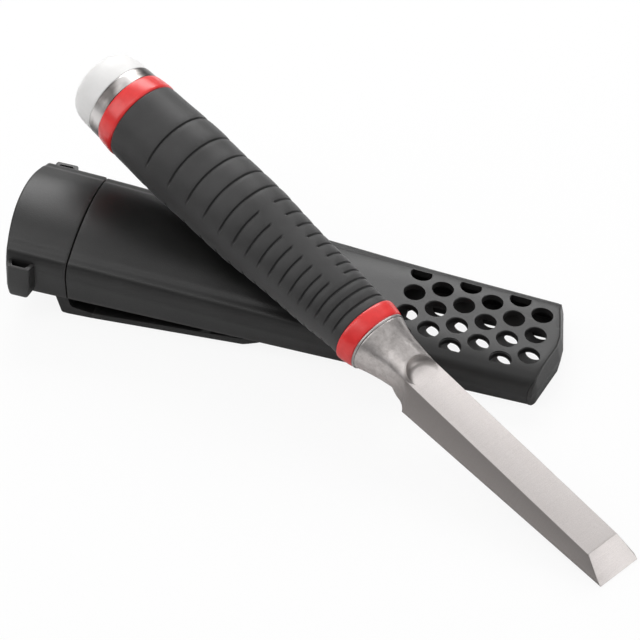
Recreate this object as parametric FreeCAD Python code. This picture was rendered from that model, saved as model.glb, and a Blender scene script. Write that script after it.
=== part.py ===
import FreeCAD, Part
import math
import os
from FreeCAD import Vector as V, Matrix

# Heavy-duty bevel-edge striking chisel with its moulded belt holster, in millimetres.
# +X runs along the holster from mouth to tip, +Z is up and z = 0 is the surface both
# lie on. The holster lies on its back, its crowned front up. The chisel lies across it:
# its cutting edge rests on the surface and its handle on the holster's front.
# The origin is the centre of the whole object's box, on the surface.

# ---------------------------------------------------------------- how the two lie
CHISEL_TURN = 149.54          # about Z, after the pitch
CHISEL_PITCH = 10.09          # the handle end is raised
HOLSTER_PITCH = 2.879         # the holster's back slopes down to the tip
HOLSTER_MOUTH = V(-235.86, 89.0, 9.81)   # middle of the back at the mouth, from the edge


# ---------------------------------------------------------------- helpers
def prism(points, direction):
    return Part.Face(Part.makePolygon(points + [points[0]])).extrude(direction)


def prism_xy(points, z0, height):
    return prism([V(x, y, z0) for x, y in points], V(0, 0, height))


def prism_xz(points, y0, width):
    return prism([V(x, y0, z) for x, z in points], V(0, width, 0))


def prism_yz(points, x0, length):
    return prism([V(x0, y, z) for y, z in points], V(length, 0, 0))


def box(x0, x1, y0, y1, z0, z1):
    return Part.makeBox(x1 - x0, y1 - y0, z1 - z0, V(x0, y0, z0))


def wide_box(x0, x1, z0, z1):
    """Box that reaches past both sides of the blade or the holster."""
    return box(x0, x1, -40, 40, z0, z1)


def upright(radius, height, x, y, z):
    return Part.makeCylinder(radius, height, V(x, y, z), V(0, 0, 1))


def loft(wires, ruled=False):
    return Part.makeLoft(wires, True, ruled)


def columns_at(table, x):
    """Columns after the first, interpolated at x and held constant past the ends."""
    if x <= table[0][0]:
        return table[0][1:]
    for before, after in zip(table, table[1:]):
        if x <= after[0]:
            part = (x - before[0]) / (after[0] - before[0])
            return [p + (q - p) * part for p, q in zip(before[1:], after[1:])]
    return table[-1][1:]


def oval_wire(x, centre_z, half_width, half_height, power=2.0, count=28):
    """Superellipse across the chisel at x; a higher power is squarer."""
    points = []
    for i in range(count):
        angle = 2 * math.pi * i / count
        c, s = math.cos(angle), math.sin(angle)
        y = half_width * math.copysign(abs(c) ** (2 / power), c)
        z = half_height * math.copysign(abs(s) ** (2 / power), s)
        points.append(V(x, y, centre_z + z))
    curve = Part.BSplineCurve()
    curve.interpolate(points, PeriodicFlag=True)
    return Part.Wire([curve.toShape()])


# ================================================================ CHISEL
# Chisel frame: x from the cutting edge towards the striking cap, y across the blade,
# z out of the blade's flat back.

# The handle's centre line: z = AXIS_Z + AXIS_SLOPE (x - AXIS_X)
AXIS_X, AXIS_Z, AXIS_SLOPE = 117.0, 5.87, 0.03

# Where each part of the handle starts
WASHER_X = 116.9
FRONT_RING_X = 117.8
GRIP_X = 124.3
REAR_RING_X = 238.2
CAP_X = 245.4
DOME_X = 250.2

TANG_R = 4.4                  # round tang through the handle
TANG_START, TANG_END = 112.0, 253.0
NOSE_R = 8.3                  # core spigot inside the front ring
TAIL_R = 11.0                 # core spigot inside the rear ring
FRONT_POWER = 2.25            # squareness of the handle's front end


def axis_z(x):
    return AXIS_Z + AXIS_SLOPE * (x - AXIS_X)


def axis_bar(radius, x0, x1):
    """Round bar along the handle's centre line."""
    length = (x1 - x0) * math.sqrt(1 + AXIS_SLOPE ** 2)
    return Part.makeCylinder(radius, length, V(x0, 0, axis_z(x0)), V(1, 0, AXIS_SLOPE))


def axis_loft(stations, power=2.0):
    """Loft on the centre line through (x, half width, half height)."""
    return loft([oval_wire(x, axis_z(x), w, h, power) for x, w, h in stations])


# ---------------------------------------------------------------- blade, neck and tang
EDGE_HALF = 9.0               # half width of the cutting edge
BLADE_LEN = 93.3              # cutting edge to shoulder corner
SHOULDER_HALF = 10.8          # half width of the back at the shoulder
LAND_H = 1.3                  # square land along each long edge of the back
TOP_HALF = 6.86               # half width of the top face
EDGE_T = 6.11                 # thickness of the unbevelled blade at x = 0
SHOULDER_T = 9.94             # thickness at the shoulder
BEVEL_DEG = 34.7              # cutting bevel angle
SCOOP_END = 100.9             # where the top face runs out into the neck
SHOULDER_R = 7.4              # concave radius behind each shoulder corner
WAIST_HALF = 7.7              # half width left between the two shoulder cuts
# x, centre z, half width, half height
NECK = [(92.5, 5.1, 7.5, 5.0), (98.0, 5.8, 7.8, 6.8), (103.0, 5.6, 8.25, 7.75),
        (108.0, 5.55, 9.05, 8.5), (113.0, 5.7, 10.4, 9.5), (WASHER_X, 5.85, 11.8, 10.45)]
# x, squareness of the neck's outline
NECK_POWER = [(92.5, 2.3), (98.0, 2.5), (104.0, 2.45), (110.0, 2.35), (WASHER_X, 2.25)]


def blade_wire(x):
    part = x / BLADE_LEN
    half = EDGE_HALF + (SHOULDER_HALF - EDGE_HALF) * part
    top = EDGE_T + (SHOULDER_T - EDGE_T) * part
    outline = [(-half, -0.6), (half, -0.6), (half, LAND_H), (TOP_HALF, top),
               (-TOP_HALF, top), (-half, LAND_H)]
    return Part.makePolygon([V(x, y, z) for y, z in outline + outline[:1]])


def make_neck():
    neck = loft([oval_wire(x, z, w, h, columns_at(NECK_POWER, x)[0]) for x, z, w, h in NECK])
    # The top face runs out as a rounded scoop cut into the neck
    slope = math.degrees(math.atan((SHOULDER_T - EDGE_T) / BLADE_LEN))
    scoop_x = SCOOP_END - TOP_HALF
    scoop = upright(TOP_HALF, 20, scoop_x, 0, 0)
    scoop = scoop.fuse(box(60, scoop_x, -TOP_HALF, TOP_HALF, 0, 20))
    scoop.rotate(V(0, 0, 0), V(0, 1, 0), -slope)
    scoop.translate(V(0, 0, EDGE_T))
    return neck.cut(scoop)


def make_blade():
    body = loft([blade_wire(0.0), blade_wire(105.0)], ruled=True)
    # Flat back in the plane z = 0
    body = body.cut(wide_box(-5, 120, -5, 0))
    # Cutting bevel on the top side, cut with a wedge taller than the blade
    wedge_top = EDGE_T * 1.5
    wedge_x = EDGE_T / math.tan(math.radians(BEVEL_DEG)) * 1.5
    wedge = [(-1, -0.001), (0, 0), (wedge_x, wedge_top), (-1, wedge_top)]
    body = body.cut(prism_xz(wedge, -15, 30))
    # Concave run from each shoulder into the neck
    hollow_x = BLADE_LEN + SHOULDER_R * 0.80
    for side in (1, -1):
        hollow_y = side * (WAIST_HALF + SHOULDER_R)
        y0, y1 = sorted((side * WAIST_HALF, hollow_y + side * 6))
        hollow = upright(SHOULDER_R, 30, hollow_x, hollow_y, -5)
        body = body.cut(hollow.fuse(box(hollow_x, 110, y0, y1, -5, 25)))
    blade = body.fuse(make_neck()).removeSplitter()
    return blade.fuse(axis_bar(TANG_R, TANG_START, TANG_END)).removeSplitter()


# ---------------------------------------------------------------- washer and front ring
WASHER_HALF = (12.0, 10.65)   # half width, half height
# x, half width, half height
FRONT_RING = [(FRONT_RING_X, 11.9, 10.5), (118.5, 12.35, 10.85), (120.5, 12.85, 11.05),
              (123.3, 13.3, 11.2), (GRIP_X, 13.15, 11.05)]

tang_bore = axis_bar(TANG_R, 100, 270)


def make_washer():
    ends = ((WASHER_X, axis_z(AXIS_X)), (FRONT_RING_X, axis_z(FRONT_RING_X)))
    return loft([oval_wire(x, z, *WASHER_HALF, FRONT_POWER) for x, z in ends]).cut(tang_bore)


def make_front_ring():
    return axis_loft(FRONT_RING, FRONT_POWER).cut(axis_bar(NOSE_R, 110, 130))


# ---------------------------------------------------------------- grip and core
CORE_WALL = 3.2               # grip thickness over the core
# x, half width, half height
GRIP = [(GRIP_X, 12.75, 10.62), (127.5, 12.8, 10.7), (133.0, 13.0, 11.25),
        (138.0, 13.45, 11.75), (146.0, 13.85, 12.25), (158.0, 14.25, 12.9),
        (167.0, 14.85, 13.6), (174.0, 15.4, 14.3), (181.0, 15.85, 14.9),
        (193.0, 16.0, 15.25), (203.0, 16.05, 15.4), (213.0, 16.35, 15.95),
        (224.0, 16.05, 15.7), (231.0, 15.75, 15.4), (236.0, 15.6, 15.3),
        (REAR_RING_X, 15.45, 15.2)]
GROOVE_X = [220.0, 208.7, 199.3, 190.7, 182.8, 176.1, 169.9, 164.1,
            158.8, 153.7, 148.8, 144.1, 140.1, 136.1, 132.1, 127.9]
GROOVE_W, GROOVE_DEPTH = 0.9, 0.8
# A smooth strip along the top of the grip interrupts the grooves in this range
STRIP_START, STRIP_END, STRIP_HALF = 138.0, 180.0, 3.4


def grip_power(x):
    """The grip is squarer at the front and nearly elliptical from x = 204 on."""
    return FRONT_POWER - 0.22 * max(0.0, min(1.0, (x - 124) / 80.0))


def grip_oval(x, half_width, half_height):
    return oval_wire(x, axis_z(x), half_width, half_height, grip_power(x))


core_body = loft([grip_oval(x, w - CORE_WALL, h - CORE_WALL) for x, w, h in GRIP])


def make_core():
    nose = axis_bar(NOSE_R, 116.0, 126.5).common(box(FRONT_RING_X, GRIP_X, -20, 20, -20, 40))
    tail = axis_bar(TAIL_R, 236.5, 247.0).common(box(REAR_RING_X, CAP_X, -30, 30, -30, 60))
    return core_body.fuse([nose, tail]).removeSplitter().cut(tang_bore)


def groove_cutter(x):
    half_width, half_height = [size - GROOVE_DEPTH for size in columns_at(GRIP, x)]
    x0, x1 = x - 2, x + 2
    z = axis_z(x)
    ring = box(x - GROOVE_W / 2, x + GROOVE_W / 2, -30, 30, -30, 60)
    ring = ring.cut(loft([grip_oval(end, half_width, half_height) for end in (x0, x1)]))
    # Grooves stop at both flanks: only the top and bottom sectors stay
    for side in (1, -1):
        flank = [(0.0, z), (side * 60, z + 16), (side * 60, z - 16)]
        ring = ring.cut(prism_yz(flank, x0, 4))
    if STRIP_START < x < STRIP_END:
        ring = ring.cut(box(x0, x1, -STRIP_HALF, STRIP_HALF, z, z + 40))
    return ring


def make_grip():
    grip = loft([grip_oval(*station) for station in GRIP]).cut(core_body)
    return grip.cut([groove_cutter(x) for x in GROOVE_X])


# ---------------------------------------------------------------- rear ring, striking cap
# x, half width, half height
REAR_RING = [(REAR_RING_X, 15.55, 15.35), (239.2, 15.8, 15.55), (242.5, 15.5, 15.3),
             (244.9, 15.15, 14.95), (CAP_X, 15.0, 14.8)]
DOME_HALF = (14.65, 14.5)     # half width, half height where the dome starts
CAP_BAND = [(CAP_X, 14.85, 14.7), (247.8, 14.8, 14.65), (DOME_X, *DOME_HALF)]
# Distance past the band, scale of the band's outline:
# nearly straight sides, a soft rim and a low crown
DOME = [(0.0, 1.0), (3.0, 0.997), (6.0, 0.98), (8.4, 0.935), (10.2, 0.855),
        (11.4, 0.74), (12.1, 0.59), (12.5, 0.38), (12.65, 0.12)]


def make_rear_ring():
    return axis_loft(REAR_RING).cut(axis_bar(TAIL_R, 230, 250))


def make_cap():
    half_width, half_height = DOME_HALF
    dome = axis_loft([(DOME_X + dx, half_width * k, half_height * k) for dx, k in DOME])
    cap = axis_loft(CAP_BAND).fuse(dome).removeSplitter()
    return cap.cut(axis_bar(TANG_R, 240, TANG_END))


# ================================================================ HOLSTER
# Holster frame: x = 0 at the mouth, z = 0 at the outer face of the back.

WALL = 2.2
# x, half width low, half width widest, shoulder height, crown height, crown flatness
HOLSTER = [(-6.0, 22.7, 24.8, 18.7, 24.3, 2.2), (22.0, 22.5, 24.7, 17.9, 22.6, 2.3),
           (60.0, 22.2, 24.2, 16.2, 20.3, 2.5), (90.0, 22.0, 23.7, 14.7, 18.0, 3.0),
           (125.0, 21.8, 23.1, 13.0, 15.2, 4.4), (160.0, 21.6, 22.6, 11.7, 13.6, 5.6),
           (204.0, 21.3, 22.1, 10.1, 11.75, 6.0)]
LOFT_X = [-6.0, 8.0, 22.0, 40.0, 60.0, 75.0, 90.0, 107.0, 125.0, 142.0, 160.0, 182.0, 204.0]
# The rounded corner between side and crown, from the widest point and the shoulder
CORNER_DROP, CORNER_IN = 6.4, 2.7

# Plan outline of the tip: x in the middle and at the corners, half widths of both
TIP_MID, TIP_CORNER = 194.0, 190.2
TIP_MID_HALF, TIP_CORNER_HALF = 2.5, 19.5


def holster_wire(x, inset=0.0, floor_z=0.0):
    low, widest, shoulder, crown, power = columns_at(HOLSTER, x)
    low, widest, crown = low - inset, widest - inset, crown - inset
    shoulder -= inset * 0.9
    side_z = shoulder - CORNER_DROP
    crown_half = widest - CORNER_IN
    half = [(widest, side_z), (widest - 0.55, shoulder - 2.7), (crown_half, shoulder)]
    for f in (0.82, 0.6, 0.3):
        half.append((crown_half * f, shoulder + (crown - shoulder) * (1 - f ** power)))
    points = half + [(0.0, crown)] + [(-y, z) for y, z in reversed(half)]
    curve = Part.BSplineCurve()
    curve.interpolate([V(x, y, z) for y, z in points])
    floor_right, floor_left = V(x, low, floor_z), V(x, -low, floor_z)
    side_right, side_left = V(x, widest, side_z), V(x, -widest, side_z)
    return Part.Wire([Part.LineSegment(floor_left, floor_right).toShape(),
                      Part.LineSegment(floor_right, side_right).toShape(),
                      curve.toShape(),
                      Part.LineSegment(side_left, floor_left).toShape()])


def holster_loft(stations, inset=0.0, floor_z=0.0):
    return loft([holster_wire(x, inset, floor_z) for x in stations])


def tip_edge(offset):
    """Tip outline moved out by offset, carried on past both sides."""
    corner, middle = TIP_CORNER + offset, TIP_MID + offset
    half = [(corner - 6, 40), (corner, TIP_CORNER_HALF), (middle, TIP_MID_HALF)]
    return [(x, -y) for x, y in half] + half[::-1]


def up_to_tip(offset):
    """Everything on the mouth side of the tip outline moved out by offset."""
    return prism_xy([(-20, -40)] + tip_edge(offset) + [(-20, 40)], -5, 45)


outer_body = holster_loft(LOFT_X)
cavity = holster_loft(LOFT_X, WALL, -1.0)

# ---------------------------------------------------------------- perforation
HOLE_R, HOLE_PITCH = 3.7, 10.42
HOLE_X0 = 140.7
HOLE_COLUMNS = 6
HOLE_CLIP = 16.9              # holes in the front stop at this half width
BACK_HOLE_CLIP = 12.0         # and in the back plate at this one
BACK_HOLE_SHIFT = V(0.5, 2.0, 0)   # from the front's holes to the back plate's

# Staggered holes, straight through
hole_bars = [upright(HOLE_R, 60, HOLE_X0 + i * HOLE_PITCH * math.sqrt(3) / 2,
                     j * HOLE_PITCH / 2, -10)
             for i in range(HOLE_COLUMNS) for j in range(-3, 4) if (i + j) % 2 == 1]

# ---------------------------------------------------------------- spring and rivet
# The leaf hangs under the crown, its bump towards the back
RIVET_X = 34.0
RIVET_R, RIVET_HEAD_R = 1.2, 2.0
RIVET_HEAD_H = 0.9
crown_z = columns_at(HOLSTER, RIVET_X)[3]
leaf_z = crown_z - WALL - 1.6           # top of the leaf at the rivet
rivet_top = crown_z - 0.8
rivet_low = leaf_z - 0.85               # where the shank meets the head
# x, z along the leaf's upper face
LEAF = [(RIVET_X - 2.6, leaf_z), (RIVET_X + 3.0, leaf_z), (44.0, 16.3), (55.0, 12.9),
        (58.0, 12.5), (61.0, 13.0), (63.0, 14.0)]
LEAF_T = 0.5


def make_spring():
    lower = [(x + (0.12 if x > 36 else 0.0), z - LEAF_T) for x, z in reversed(LEAF)]
    spring = prism_xz(LEAF + lower, -5, 10)
    return spring.cut(upright(1.5, 12, RIVET_X, 0, leaf_z - 5))


def make_rivet():
    shank = upright(RIVET_R, rivet_top - rivet_low, RIVET_X, 0, rivet_low)
    head = upright(RIVET_HEAD_R, RIVET_HEAD_H, RIVET_X, 0, rivet_low - RIVET_HEAD_H)
    return shank.fuse(head).removeSplitter()


# ---------------------------------------------------------------- shell
COLLAR_LEN = 22.0


def make_shell():
    body = outer_body.common(up_to_tip(0.0)).common(wide_box(COLLAR_LEN, 210, -5, 40))
    shell = body.cut(cavity)
    hole_zone = box(100, 200, -HOLE_CLIP, HOLE_CLIP, -20, 60)
    shell = shell.cut([bar.common(hole_zone) for bar in hole_bars])
    # Round pad under the crown, around the rivet
    pad = upright(2.0, 4.0, RIVET_X, 0, leaf_z + 0.35).common(cavity)
    pad = pad.cut(upright(RIVET_R, 12, RIVET_X, 0, leaf_z - 5))
    shell = shell.fuse(pad).removeSplitter()
    return shell.cut(upright(RIVET_R, rivet_top - leaf_z + 5, RIVET_X, 0, leaf_z - 5))


# ---------------------------------------------------------------- mouth collar
RIM_BOW = 2.7                 # the middle of the mouth's rim stands this far forward
RIM_R = 120
COLLAR_GAP = 0.35             # between the collar and the shell
SPIGOT_Z = WALL + 3.0         # the spigot inside the shell starts at this height


def make_collar():
    rim = upright(RIM_R, 60, RIM_R - RIM_BOW, 0, -10)
    rim = rim.fuse(wide_box(-RIM_BOW + 6, 60, -10, 50))
    collar = outer_body.common(wide_box(-6, COLLAR_LEN - COLLAR_GAP, 0, 40)).common(rim)
    spigot_bore = holster_loft((6.0, 22.0, 38.0), WALL + 1.5, WALL)
    spigot_body = holster_loft((14.0, 22.0, 32.0), WALL + 0.12, WALL)
    collar = collar.cut(cavity.common(wide_box(-20, COLLAR_LEN - 6, -5, 50)))
    collar = collar.cut(cavity.common(wide_box(COLLAR_LEN - 7, COLLAR_LEN + 1, -5, SPIGOT_Z)))
    collar = collar.cut(spigot_bore)
    spigot = spigot_body.common(wide_box(COLLAR_LEN - 1.0, COLLAR_LEN + 5, SPIGOT_Z, 40))
    return collar.fuse(spigot.cut(spigot_bore))


# ---------------------------------------------------------------- tip cap
TIP_FLARE = 1.7               # the end wall stands this far out at half height
# Height, offset of the end wall from the tip outline
TIP_WALL = [(0.0, TIP_FLARE * 0.75), (6.0, TIP_FLARE), (13.0, 0.1)]


def tip_wire(z, offset):
    outline = tip_edge(offset) + [(TIP_CORNER - 30, 40), (TIP_CORNER - 30, -40)]
    return Part.makePolygon([V(x, y, z) for x, y in outline + outline[:1]])


def make_tip_cap():
    lower, upper = [loft([tip_wire(*a), tip_wire(*b)], ruled=True)
                    for a, b in zip(TIP_WALL, TIP_WALL[1:])]
    cap = outer_body.common(lower.fuse(upper)).cut(up_to_tip(0.0))
    # Plug inside the shell's end
    plug = holster_loft((160.0, 182.0, 204.0), WALL + 0.02, WALL + 0.02)
    plug = plug.common(up_to_tip(0.3)).cut(up_to_tip(-2.6))
    return cap.fuse(plug).removeSplitter()


# ---------------------------------------------------------------- back plate, clip, screws
CLIP_ROOT_X = 21.0
CLIP_BEND_X = CLIP_ROOT_X + 10.0   # the arm starts here, at the end of the foot
CLIP_TIP_X = 98.0
CLIP_HALF = 21.5              # half width of the belt clip
CLIP_DROP = 8.6
CLIP_T = 2.6
CLIP_TOP_Z = -CLIP_DROP + CLIP_T + 0.2   # inner face where foot and arm meet
CLIP_LOW_Z = -CLIP_DROP + 0.35           # outer face there
ARM_TOP_Z = -1.0              # end of the inner face's straight slope
ARM_TOP_X = CLIP_TIP_X - 13
TOOTH_X = (70.0, 79.0)

SCREW_X, SCREW_Y = CLIP_ROOT_X + 1.0, (-12.0, 12.0)
SCREW_R = 1.5
SCREW_DEPTH = 6.0             # shank below the back's outer face


def make_back():
    """Back plate between the side walls."""
    back = cavity.common(up_to_tip(0.0)).common(wide_box(1.6, 210, 0, WALL))
    hole_zone = box(138.2, 190, -BACK_HOLE_CLIP, BACK_HOLE_CLIP, -20, 60)
    back = back.cut([bar.translated(BACK_HOLE_SHIFT).common(hole_zone) for bar in hole_bars])
    for y in SCREW_Y:
        back = back.cut(upright(SCREW_R, 20, SCREW_X, y, -10))
    return back


def make_foot():
    profile = [(CLIP_ROOT_X - 4.2, 0), (CLIP_ROOT_X + 5.5, 0),
               (CLIP_ROOT_X + 7.0, -CLIP_DROP + CLIP_T + 1.5), (CLIP_BEND_X, CLIP_TOP_Z),
               (CLIP_BEND_X, CLIP_LOW_Z), (CLIP_ROOT_X + 1.0, -CLIP_DROP - 0.1),
               (CLIP_ROOT_X - 1.2, -CLIP_DROP)]
    foot = prism_xz(profile, -CLIP_HALF, 2 * CLIP_HALF)
    for y in SCREW_Y:
        foot = foot.cut(upright(SCREW_R, SCREW_DEPTH + 0.2, SCREW_X, y, -SCREW_DEPTH))
    return foot


def make_arm():
    profile = [(CLIP_BEND_X, CLIP_TOP_Z), (ARM_TOP_X, ARM_TOP_Z), (CLIP_TIP_X - 8, -0.12),
               (CLIP_TIP_X - 5, -0.12), (CLIP_TIP_X, -1.3), (CLIP_TIP_X, -2.0),
               (CLIP_TIP_X - 12, ARM_TOP_Z - CLIP_T), (CLIP_BEND_X, CLIP_LOW_Z)]
    arm = prism_xz(profile, -CLIP_HALF, 2 * CLIP_HALF)
    # Free end with cut-back corners in plan
    half = [(0, CLIP_HALF), (CLIP_TIP_X - 12, CLIP_HALF), (CLIP_TIP_X - 4, CLIP_HALF - 2.5),
            (CLIP_TIP_X, CLIP_HALF - 8)]
    arm = arm.common(prism_xy([(x, -y) for x, y in half] + half[::-1], -30, 60))
    # Catch teeth on the inner face
    slope = (ARM_TOP_Z - CLIP_TOP_Z) / (ARM_TOP_X - CLIP_BEND_X)
    for x in TOOTH_X:
        z = CLIP_TOP_Z + (x - CLIP_BEND_X) * slope
        tooth = [(x, z - 0.6), (x + 4.6, z - 0.3), (x + 4.2, z + 1.5)]
        arm = arm.fuse(prism_xz(tooth, -CLIP_HALF + 0.5, 2 * CLIP_HALF - 1.0))
    return arm.removeSplitter()


def make_screw(y):
    """Head inside the holster, shank down into the clip's foot."""
    head = upright(3.2, 1.6, SCREW_X, y, WALL)
    shank = upright(SCREW_R, WALL + SCREW_DEPTH, SCREW_X, y, -SCREW_DEPTH)
    recess = upright(1.2, 1.2, SCREW_X, y, WALL + 0.8)
    return head.fuse(shank).removeSplitter().cut(recess)


# ---------------------------------------------------------------- link loops
# x, y in plan, for the loop on the +Y side of the collar
LOOP = [(0.4, 22.0), (10.9, 22.0), (9.6, 27.6), (8.8, 28.4), (2.2, 28.4), (1.4, 27.6)]
LOOP_SLOT = [(1.9, 24.9), (9.3, 24.9), (7.8, 27.3), (3.2, 27.3)]
# y, z of the wedge taken off so the outer side leans in at the bottom
LOOP_LEAN = [(29, -1), (29, 5), (27.3, 0.2), (27.3, -1)]


def make_loop(side):
    loop = prism_xy(LOOP, 0.3, 14.7)
    loop = loop.cut(prism_xy(LOOP_SLOT, -1, 20))
    loop = loop.cut(prism_yz(LOOP_LEAN, -1, 15))
    loop = loop.cut(outer_body)
    if side < 0:
        mirror = Matrix()
        mirror.scale(1, -1, 1)
        loop = loop.transformGeometry(mirror)
    return max(loop.Solids, key=lambda solid: solid.Volume)


# ================================================================ place and export
chisel = {
    "blade": make_blade(),
    "bolster_washer": make_washer(),
    "front_ring": make_front_ring(),
    "handle_core": make_core(),
    "grip": make_grip(),
    "rear_ring": make_rear_ring(),
    "striking_cap": make_cap(),
}
holster = {
    "holster_shell": make_shell(),
    "holster_back": make_back(),
    "mouth_collar": make_collar(),
    "tip_cap": make_tip_cap(),
    "link_loop_near": make_loop(-1),
    "link_loop_far": make_loop(1),
    "retaining_spring": make_spring(),
    "spring_rivet": make_rivet(),
    "clip_foot": make_foot(),
    "clip_arm": make_arm(),
    "clip_screws": Part.makeCompound([make_screw(y) for y in SCREW_Y]),
}

chisel_lie = Matrix()
chisel_lie.rotateY(math.radians(-CHISEL_PITCH))
chisel_lie.rotateZ(math.radians(CHISEL_TURN))
holster_lie = Matrix()
holster_lie.rotateY(math.radians(HOLSTER_PITCH))
holster_lie.move(HOLSTER_MOUTH)

placed = {}
bounds = FreeCAD.BoundBox()
for pieces, lie in ((chisel, chisel_lie), (holster, holster_lie)):
    for name, piece in pieces.items():
        shape = piece.copy()
        shape.transformShape(lie)
        bounds.add(shape.optimalBoundingBox(False))
        placed[name] = shape

to_origin = V(-(bounds.XMin + bounds.XMax) / 2, -(bounds.YMin + bounds.YMax) / 2, -bounds.ZMin)
os.makedirs("parts", exist_ok=True)
for name, shape in placed.items():
    shape.translate(to_origin)
    shape.exportStep("parts/%s.step" % name)
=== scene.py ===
# Bevel-edge striking chisel lying across its belt holster, on a pale floor. Sizes are in
# millimetres in two local frames: the chisel's (x from the cutting edge to the cap, y across,
# z out of the flat back) and the holster's (x from mouth to tip, y across, z up from the back).
import functools
import math

import bmesh
import bpy
import numpy as np
from mathutils import Matrix, Vector


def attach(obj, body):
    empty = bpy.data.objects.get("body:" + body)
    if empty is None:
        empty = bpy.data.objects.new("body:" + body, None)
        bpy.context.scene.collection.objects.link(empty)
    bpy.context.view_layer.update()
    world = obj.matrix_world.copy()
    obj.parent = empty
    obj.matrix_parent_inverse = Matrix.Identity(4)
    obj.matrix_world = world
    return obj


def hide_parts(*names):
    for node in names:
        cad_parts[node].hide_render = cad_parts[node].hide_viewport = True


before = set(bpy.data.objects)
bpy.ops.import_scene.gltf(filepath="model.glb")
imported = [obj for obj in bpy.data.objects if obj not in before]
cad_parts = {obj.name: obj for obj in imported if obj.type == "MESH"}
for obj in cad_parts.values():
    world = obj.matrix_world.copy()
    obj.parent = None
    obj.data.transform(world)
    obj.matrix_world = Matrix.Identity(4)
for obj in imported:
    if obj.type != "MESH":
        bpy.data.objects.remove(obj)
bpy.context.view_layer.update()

# ---------------------------------------------------------------- local frames
CHISEL_PITCH = math.radians(10.09)
CHISEL_TURN = math.radians(149.54)
HOLSTER_PITCH = math.radians(2.879)
CHISEL_AT = np.array([116.44879897, -66.16040659, 0.0])
HOLSTER_AT = CHISEL_AT + [-235.86, 89.0, 9.81]


def about_y(angle):
    c, s = math.cos(angle), math.sin(angle)
    return np.array([[c, 0, s], [0, 1, 0], [-s, 0, c]])


def about_z(angle):
    c, s = math.cos(angle), math.sin(angle)
    return np.array([[c, -s, 0], [s, c, 0], [0, 0, 1]])


POSES = {
    "chisel": (about_z(CHISEL_TURN) @ about_y(-CHISEL_PITCH), CHISEL_AT),
    "holster": (about_y(HOLSTER_PITCH), HOLSTER_AT),
}


# ---------------------------------------------------------------- curves
def pchip(xs, ys, x):
    """Monotone cubic through (xs, ys), held constant beyond both ends."""
    xs, ys, x = np.array(xs, float), np.array(ys, float), np.asarray(x, float)
    h = np.diff(xs)
    d = np.diff(ys) / h
    m = np.zeros_like(ys)
    m[0], m[-1] = d[0], d[-1]
    for i in range(1, len(xs) - 1):
        if d[i - 1] * d[i] > 0:
            w1, w2 = 2 * h[i] + h[i - 1], h[i] + 2 * h[i - 1]
            m[i] = (w1 + w2) / (w1 / d[i - 1] + w2 / d[i])
    x = np.clip(x, xs[0], xs[-1])
    i = np.clip(np.searchsorted(xs, x) - 1, 0, len(xs) - 2)
    t = (x - xs[i]) / h[i]
    return ((1 + 2 * t) * (1 - t) ** 2 * ys[i] + t * (1 - t) ** 2 * h[i] * m[i]
            + t * t * (3 - 2 * t) * ys[i + 1] + t * t * (t - 1) * h[i] * m[i + 1])


def table_at(table, x):
    """Every column of a table of stations, read at x (the first column)."""
    xs, *columns = zip(*table)
    return [pchip(xs, column, x) for column in columns]


def smoothstep(start, end, x):
    t = np.clip((np.asarray(x, float) - start) / (end - start), 0, 1)
    return t * t * (3 - 2 * t)


def round_inset(distance, radius):
    """How far a rounded edge draws in at a distance from the end face."""
    if distance >= radius:
        return 0.0
    return radius * (1 - math.sqrt(max(0.0, 1 - ((radius - distance) / radius) ** 2)))


def natural_spline(points, u):
    """Natural cubic spline with chord-length parameters, evaluated at u in 0..1."""
    n = len(points)
    t = np.concatenate([[0], np.cumsum(np.linalg.norm(np.diff(points, axis=0), axis=1))])
    t /= t[-1]
    h = np.diff(t)
    system = np.eye(n)
    rhs = np.zeros_like(points)
    for i in range(1, n - 1):
        system[i, i - 1:i + 2] = (h[i - 1], 2 * (h[i - 1] + h[i]), h[i])
        rhs[i] = 6 * ((points[i + 1] - points[i]) / h[i] - (points[i] - points[i - 1]) / h[i - 1])
    k = np.linalg.solve(system, rhs)
    i = np.clip(np.searchsorted(t, u) - 1, 0, n - 2)
    w = (u - t[i])[:, None]
    hi = h[i][:, None]
    c = (points[i + 1] - points[i]) / hi - hi * (2 * k[i] + k[i + 1]) / 6
    return points[i] + w * c + w ** 2 * k[i] / 2 + w ** 3 * (k[i + 1] - k[i]) / (6 * hi)


def fillet(polygon, radius, count=4):
    """Rounds every corner of a closed polygon with count points; radius may be a list."""
    out = []
    n = len(polygon)
    for i in range(n):
        corner = np.array(polygon[i])
        back, ahead = np.array(polygon[i - 1]) - corner, np.array(polygon[(i + 1) % n]) - corner
        back_len, ahead_len = np.linalg.norm(back), np.linalg.norm(ahead)
        back, ahead = back / back_len, ahead / ahead_len
        angle = math.acos(float(np.clip(back @ ahead, -1, 1)))
        r = radius[i] if isinstance(radius, list) else radius
        trim = min(r / math.tan(angle / 2), 0.42 * back_len, 0.42 * ahead_len)
        start, end = corner + back * trim, corner + ahead * trim
        for j in range(count):
            t = j / (count - 1)
            out.append(tuple((1 - t) ** 2 * start + 2 * t * (1 - t) * corner + t * t * end))
    return out


# ---------------------------------------------------------------- mesh building
def bands(n, m, closed=False):
    """Quads between n rings of m points, optionally from the last ring back to the first."""
    faces = []
    for i in range(n if closed else n - 1):
        k = (i + 1) % n
        for j in range(m):
            l = (j + 1) % m
            faces.append((i * m + j, i * m + l, k * m + l, k * m + j))
    return faces


def tube(rings, closed=False):
    """Skin over rings; the end rings are capped unless the tube closes on itself."""
    rings = np.asarray(rings, float)
    n, m, _ = rings.shape
    faces = bands(n, m, closed)
    if not closed:
        faces.append(tuple(range(m))[::-1])
        faces.append(tuple((n - 1) * m + j for j in range(m)))
    return rings.reshape(-1, 3), faces


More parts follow.
